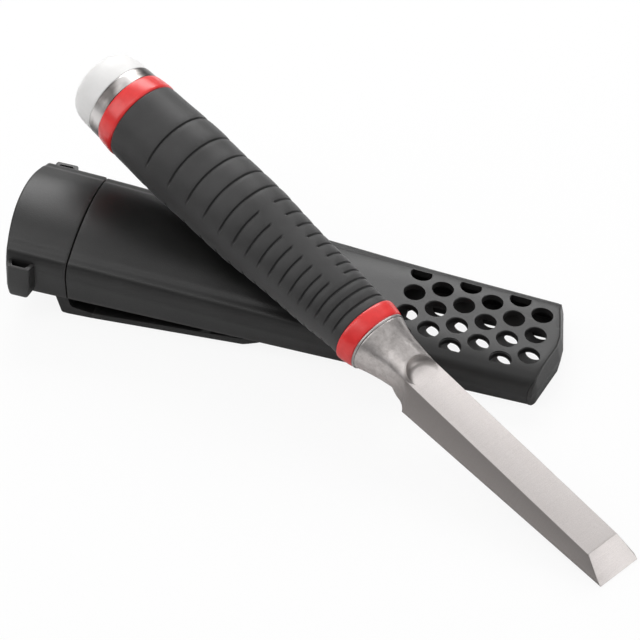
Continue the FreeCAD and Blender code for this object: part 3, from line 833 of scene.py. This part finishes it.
def tip_x(y):
    """Plan outline of the tip: a blunt V with softened corners."""
    y = np.abs(y)
    slant = np.where(y < 19.5, 194.0 - (y - 2.5) * 3.8 / 17.0, 190.2 - (y - 19.5) * 6 / 20.5)
    return np.where(y < 2.5, 194.0, slant) - 0.9 * smoothstep(19.8, 22.4, y) ** 1.5


def rim_x(y):
    """Plan outline of the mouth: a shallow arc."""
    return 120 - 2.7 - np.sqrt(120 ** 2 - y ** 2)


def follow(outline, inset, guess):
    """x of every column where the wall meets a plan outline."""
    xs = level(guess)
    for _ in range(4):
        xs = outline(wall_points(inset, xs)[:, 0])
    return xs


def arched_wall(rows):
    """Closed wall over the arch; rows are (x per column, outer inset, inner inset)."""
    rings = []
    for xs, outer, inner in rows:
        outside = np.column_stack([xs, wall_points(outer, xs)])
        inside = np.column_stack([xs, wall_points(inner, xs)])
        rings.append(np.concatenate([outside, inside[::-1]]))
    rings = np.array(rings)
    n, m, _ = rings.shape
    faces = bands(n, m)
    for i, step in ((0, -1), (n - 1, 1)):
        for j in range(COLUMNS - 1):
            quad = (i * m + j, i * m + j + 1, i * m + m - 2 - j, i * m + m - 1 - j)
            faces.append(quad[::step])
    return rings.reshape(-1, 3), faces


# ---------------------------------------------------------------- holster: shell
SHELL_START = 22.0
HOLE_PITCH = 10.42
HOLE_RADIUS = 3.7
HOLES_X = 140.7             # first row of holes
HOLES_HALF = 16.9           # the outer holes are cut off straight here


def hole_cutter(x, y):
    """Round cutter through the shell, widening at the surface."""
    top = wall_points(0.0, level(x))[ARCH][::-1]
    surface = float(np.interp(y, top[:, 0], top[:, 1]))
    angles = np.linspace(0, 2 * math.pi, 56, endpoint=False)
    rings = []
    for z, flare in ((-6, 0.0), (surface - 0.45, 0.0), (surface - 0.28, 0.04),
                     (surface - 0.14, 0.12), (surface - 0.03, 0.26), (surface + 0.05, 0.36),
                     (surface + 4, 0.8)):
        r = HOLE_RADIUS + flare
        ys = np.clip(y + r * np.sin(angles), -HOLES_HALF - flare, HOLES_HALF + flare)
        rings.append(np.column_stack([x + r * np.cos(angles), ys, np.full_like(ys, z)]))
    return tube(rings)


def build_shell():
    end = follow(tip_x, 0.0, 191.0)
    start = SHELL_START + 0.45
    rows = [(level(SHELL_START), 0.26, WALL - 0.1), (level(22.05), 0.14, WALL),
            (level(22.2), 0.03, WALL), (level(start), 0.0, WALL)]
    for u in np.linspace(0, 1, 96)[1:-1]:
        rows.append((start + u * (end - 0.45 - start), 0.0, WALL))
    rows += [(end - back, inset, WALL)
             for back, inset in ((0.45, 0.0), (0.2, 0.04), (0.06, 0.14), (0.0, 0.3))]
    shell = add_mesh("shell_front", arched_wall(rows), "holster")
    # staggered rows of holes
    holes = [hole_cutter(HOLES_X + i * HOLE_PITCH * math.sqrt(3) / 2, j * HOLE_PITCH / 2)
             for i in range(6) for j in range(-3, 4) if (i + j) % 2 == 1]
    boolean(shell, add_mesh("holes_tmp", join(*holes), "holster"), "DIFFERENCE")
    finish_piece(shell, "holster", HOLSTER_PLASTIC, 30, "holster_shell")


# ---------------------------------------------------------------- holster: collar and tip
def build_collar():
    rim = follow(rim_x, 0.0, 0.0)
    lip = 0.8               # rounding of the mouth
    outer = -0.2            # stands proud of the shell
    rows = []
    for k in range(6):
        turn = math.pi / 2 * k / 5
        inset = lip * (1 - math.sin(turn))
        rows.append((rim + lip * (1 - math.cos(turn)), outer + inset, WALL - inset))
    for u in np.linspace(0, 1, 16)[1:]:
        rows.append((rim + lip + u * (21.2 - rim - lip), outer, WALL))
    rows += [(level(x), outer + inset, WALL)
             for x, inset in ((21.45, 0.03), (21.6, 0.14), (21.65, 0.26))]
    # sleeve that reaches inside the shell: x, outer inset
    sleeve = [(15.7, 2.1), (20.0, 2.1), (21.5, 2.1), (21.62, 2.32), (24.0, 2.32),
              (26.6, 2.32), (27.0, 2.7)]
    sleeve = [(level(x), inset, 3.7) for x, inset in sleeve]
    holster_piece("collar_mouth", join(arched_wall(rows), arched_wall(sleeve)), 40,
                  "mouth_collar")


def tip_plate(inset, bottom, count, near, far):
    """Plate across the tip; near and far give its faces' x beyond the outline from z."""
    section = wall_points(inset, follow(tip_x, inset, 189.0))[ARCH]
    side_top = section[0, 1]
    grid = []
    for t in np.arange(count) / (count - 1):
        z = bottom + (section[:, 1] - bottom) * t
        narrowing = np.where(z < side_top, 0.97 + 0.03 * z / side_top, 1.0)
        grid.append(np.column_stack([section[:, 0] * narrowing, z]))
    y, z = np.moveaxis(np.array(grid), -1, 0)
    verts = np.concatenate([np.dstack([tip_x(y) + beyond(z), y, z]).reshape(-1, 3)
                            for beyond in (near, far)])
    n, m = y.shape
    size = n * m
    faces = []
    for i in range(n - 1):
        for j in range(m - 1):
            quad = (i * m + j, i * m + j + 1, (i + 1) * m + j + 1, (i + 1) * m + j)
            faces += [quad, tuple(size + k for k in quad[::-1])]
    rim = [i * m for i in range(n)] + [(n - 1) * m + j for j in range(1, m)]
    rim += [i * m + m - 1 for i in range(n - 2, -1, -1)] + list(range(m - 2, 0, -1))
    faces += [(a, b, size + b, size + a) for a, b in zip(rim, rim[1:] + rim[:1])]
    return verts, faces


def tip_flare(z):
    low = 1.275 + (1.7 - 1.275) * np.clip(z, 0, 6) / 6
    return np.where(z < 6, low, 1.7 - 1.5 * (np.clip(z, 6, 12) - 6) / 6)


def build_tip():
    """End wall that flares out below the top edge, and a plug between the walls."""
    end = tip_plate(0.08, 0.0, 22, near=lambda z: 0.03, far=tip_flare)
    plug = tip_plate(WALL + 0.03, 2.25, 6, near=lambda z: -2.6, far=lambda z: 0.2)
    holster_piece("end_cap", join(end, plug), 40, "tip_cap")


build_shell()
build_collar()
build_tip()

# ---------------------------------------------------------------- holster: side brackets
BRACKET_Z = [0.3, 0.42, 0.7, 1.1, 1.7, 3.0, 4.5, 6.0, 8.0, 11.0, 14.4, 14.75, 14.95, 15.0]


def bracket_outline(z, side):
    foot = float(smoothstep(6.0, 0.0, z))
    end = round_inset(z - BRACKET_Z[0], 1.4) / 1.4
    wall = 22.5 + (24.7 - 22.5) * min(z, 11.5) / 11.5 - 1.2
    outer = 28.4 - 0.6 * foot - end
    points = [(0.4 + 0.7 * foot + end, wall), (10.9 - 0.9 * foot - end, wall),
              (9.5 - 0.7 * foot - end, outer), (1.6 + 0.6 * foot + end, outer)]
    return [(x, y, z) for x, y in fillet([(x, side * y) for x, y in points], 0.9, 5)]


def slot_outline(z, side):
    foot = float(smoothstep(6.0, 0.0, z))
    points = [(1.9 + 0.4 * foot, 24.75), (9.3 - 0.4 * foot, 24.75),
              (7.8 - 0.3 * foot, 27.3 - 0.3 * foot), (3.2 + 0.3 * foot, 27.3 - 0.3 * foot)]
    return [(x, y, z) for x, y in fillet([(x, side * y) for x, y in points], 0.5, 5)]


def build_bracket(side, name, node):
    """Bracket with a slot: narrower outwards and towards its foot, all corners rounded."""
    outer = [bracket_outline(z, side) for z in BRACKET_Z]
    cx, cy = np.mean(np.array(outer[-1])[:, :2], 0)
    for ring, shrink in ((-1, 0.93), (-2, 0.97), (-3, 0.99)):
        outer[ring] = [(cx + (x - cx) * shrink,
                        cy + (y - cy) * shrink if abs(y) > abs(cy) else y, z)
                       for x, y, z in outer[ring]]
    inner = [slot_outline(z, side) for z in reversed(BRACKET_Z[:-2] + [15.0])]
    holster_piece(name, tube(outer + inner, closed=True), 45, node)


build_bracket(-1, "bracket_near", "link_loop_near")
build_bracket(1, "bracket_far", "link_loop_far")

# ---------------------------------------------------------------- holster: belt clip
CLIP_HALF = 21.5
# x, z round the clip's root, and the rounding of each corner
ROOT_PROFILE = [(16.8, 0.0), (21.4, 0.0), (23.0, -4.7), (31.0, -5.8), (31.0, -8.25),
                (22.0, -8.72), (19.6, -8.6)]
ROOT_RADII = [0.05, 0.3, 1.6, 0.05, 0.05, 0.6, 1.2]
BOSS_X, BOSS_Y, BOSS_RADIUS = 22.0, 12.0, 3.1
# upper and lower faces of the springy arm: x stations, then z
ARM_TOP = [30.5, 31.0, 85.0, 90.0, 93.0, 98.0], [-5.9, -5.8, -1.0, -0.14, -0.14, -1.25]
ARM_LOW = [30.5, 31.0, 86.0, 98.0], [-8.2, -8.25, -3.6, -2.05]
ARM_START, ARM_END = 30.5, 98.0
TEETH_X = (70.0, 79.0)      # start of each ramped tooth on the upper face


def clip_root_body():
    """The root's profile drawn across the clip, with rounded ends."""
    profile = np.array(fillet(ROOT_PROFILE, ROOT_RADII, 6))
    centre = profile.mean(0)
    extent = np.maximum(np.abs(profile - centre).max(0), 1.0)
    edge = 0.35
    ends = [(-CLIP_HALF, edge), (-CLIP_HALF + edge * 0.3, edge * 0.3), (-CLIP_HALF + edge, 0.0)]
    middle = [(y, 0.0) for y in np.linspace(-CLIP_HALF + 2, CLIP_HALF - 2, 9)]
    rings = []
    for y, inset in ends + middle + [(-y, inset) for y, inset in reversed(ends)]:
        x, z = (centre + (profile - centre) * (1 - inset / extent)).T
        rings.append(np.column_stack([x, np.full(len(x), y), z]))
    return tube(rings)


def clip_boss(y):
    angles = around(40)
    return tube([np.stack([BOSS_X + BOSS_RADIUS * np.cos(angles),
                           y + BOSS_RADIUS * np.sin(angles), np.full(40, z)], -1)
                 for z in (-0.02, -3.0, -6.4)])


def arm_loop(y):
    """Side view of the arm at y; the arm is shorter towards its rounded corners."""
    a = abs(y)
    end = ARM_END - 12.0 * max(0.0, (a - 11.0) / 10.5) ** 3.0
    inset = 0.3 if a > 21.45 else 0.1 if a > 21.3 else 0.03 if a > 21.0 else 0.0
    u = 1 - (1 - np.linspace(0, 1, 46)) ** 1.25
    xs = ARM_START + (end - 0.28 - ARM_START) * u
    top = np.interp(xs, *ARM_TOP) - inset
    for tooth in TEETH_X:
        ramp = np.interp(xs, [tooth - 0.01, tooth + 4.15, tooth + 4.6], [0.0, 1.35, 0.0])
        top = top + ramp * (a < 20.9)
    low = np.interp(xs, *ARM_LOW) + inset
    mid = (top[-1] + low[-1]) / 2
    nose = [(end - 0.1, top[-1] - 0.08), (end, (top[-1] + mid) / 2),
            (end, (low[-1] + mid) / 2), (end - 0.1, low[-1] + 0.08)]
    loop = list(zip(xs, top)) + nose + list(zip(xs[::-1], low[::-1]))
    return [(x, y, z) for x, z in loop]


def build_clip():
    root = join(clip_root_body(), clip_boss(-BOSS_Y), clip_boss(BOSS_Y))
    holster_piece("clip_root", root, 40, "clip_foot")
    ys = [-CLIP_HALF, -21.42, -21.2, *np.linspace(-20.8, 20.8, 43), 21.2, 21.42, CLIP_HALF]
    holster_piece("clip_spring_arm", tube([arm_loop(y) for y in ys]), 35, "clip_arm",
                  body="clip_arm")


build_clip()

# ---------------------------------------------------------------- CAD nodes that stay
for node, finish in (("holster_back", MOULDED_PLASTIC), ("handle_core", CORE_PLASTIC),
                     ("clip_screws", SCREW_STEEL), ("retaining_spring", SPRING_STEEL),
                     ("spring_rivet", SPRING_STEEL)):
    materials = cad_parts[node].data.materials
    materials.clear()
    materials.append(finish)


# ---------------------------------------------------------------- floor, light, camera (metres)
def build_floor():
    """Pale floor that the camera sees as nearly white."""
    half, z = 6, -0.0002
    mesh = bpy.data.meshes.new("floor")
    mesh.from_pydata([(-half, -half, z), (half, -half, z), (half, half, z), (-half, half, z)],
                     [], [(0, 1, 2, 3)])
    floor = add_object("floor", mesh)
    material = bpy.data.materials.new("floor_pale")
    material.use_nodes = True
    t = Nodes(material.node_tree)
    surface = t.tree.nodes["Principled BSDF"]
    t.fill(surface, Base_Color=(0.90, 0.90, 0.90), Roughness=0.7, Specular_IOR_Level=0.2)
    glow = t.node("ShaderNodeEmission", Color=(1, 1, 1), Strength=1.0)
    path = t.node("ShaderNodeLightPath")
    whiteness = t.math("MULTIPLY", path.outputs["Is Camera Ray"], 0.90)
    mixed = t.mix_shader(whiteness, surface.outputs[0], glow.outputs[0])
    t.feed(t.tree.nodes["Material Output"].inputs[0], mixed)
    mesh.materials.append(material)


def build_world():
    """White to the camera; a grey gradient, brighter upwards, lights the scene."""
    world = bpy.data.worlds.new("studio")
    bpy.context.scene.world = world
    world.use_nodes = True
    t = Nodes(world.node_tree)
    t.tree.nodes.clear()
    out = t.node("ShaderNodeOutputWorld")
    path = t.node("ShaderNodeLightPath")
    backdrop = t.node("ShaderNodeBackground", Color=(1, 1, 1), Strength=1.0)
    coords = t.node("ShaderNodeTexCoord")
    axes = t.node("ShaderNodeSeparateXYZ", Vector=coords.outputs["Generated"])
    gradient = t.ramp(axes.outputs[2], (0.0, (0.16, 0.16, 0.163)), (0.30, (0.30, 0.30, 0.304)),
                      (0.62, (0.62, 0.62, 0.625)), (0.95, 1.0))
    studio = t.node("ShaderNodeBackground", Color=gradient, Strength=0.62)
    mixed = t.mix_shader(path.outputs["Is Camera Ray"], studio.outputs[0], backdrop.outputs[0])
    t.feed(out.inputs[0], mixed)


def area(name, at, target, size, power):
    data = bpy.data.lights.new(name, "AREA")
    data.shape, data.energy = "RECTANGLE", power
    data.size, data.size_y = size
    light = bpy.data.objects.new(name, data)
    light.location = at
    light.rotation_euler = (Vector(target) - Vector(at)).to_track_quat("-Z", "Y").to_euler()
    bpy.context.scene.collection.objects.link(light)


def build_camera():
    tilt, roll, turn = math.radians(44.515), math.radians(0.3666), math.radians(15.18)
    right = Vector((1, 0, 0))
    up = Vector((0, math.sin(tilt), math.cos(tilt)))
    forward = Vector((0, math.cos(tilt), -math.sin(tilt)))
    right, up = (math.cos(roll) * right + math.sin(roll) * up,
                 -math.sin(roll) * right + math.cos(roll) * up)
    about_up = Matrix.Rotation(turn, 3, "Z")
    right, up, forward = about_up @ right, about_up @ up, about_up @ forward
    data = bpy.data.cameras.new("camera")
    data.lens, data.sensor_width, data.sensor_fit = 215.25, 36.0, "HORIZONTAL"
    data.clip_start, data.clip_end = 0.05, 20.0
    camera = bpy.data.objects.new("camera", data)
    pose = Matrix((right, up, -forward)).transposed().to_4x4()
    pose.translation = (0.24208, -0.91042405, 0.95039)
    camera.matrix_world = pose
    bpy.context.scene.collection.objects.link(camera)
    bpy.context.scene.camera = camera


build_floor()
build_world()
area("key", at=(-0.25, 1.10, 0.85), target=(0, 0, 0), size=(1.0, 0.6), power=11.0)
area("left", at=(-1.1, -0.45, 0.90), target=(0, 0, 0.02), size=(0.6, 0.9), power=5.0)
area("right", at=(1.3, 0.1, 0.65), target=(0, 0, 0.02), size=(0.5, 0.9), power=3.4)
area("over", at=(-0.35, -0.15, 1.2), target=(-0.05, 0, 0.02), size=(0.5, 0.5), power=1.9)
build_camera()
bpy.context.scene.view_settings.view_transform = "Standard"
bpy.context.scene.view_settings.look = "None"
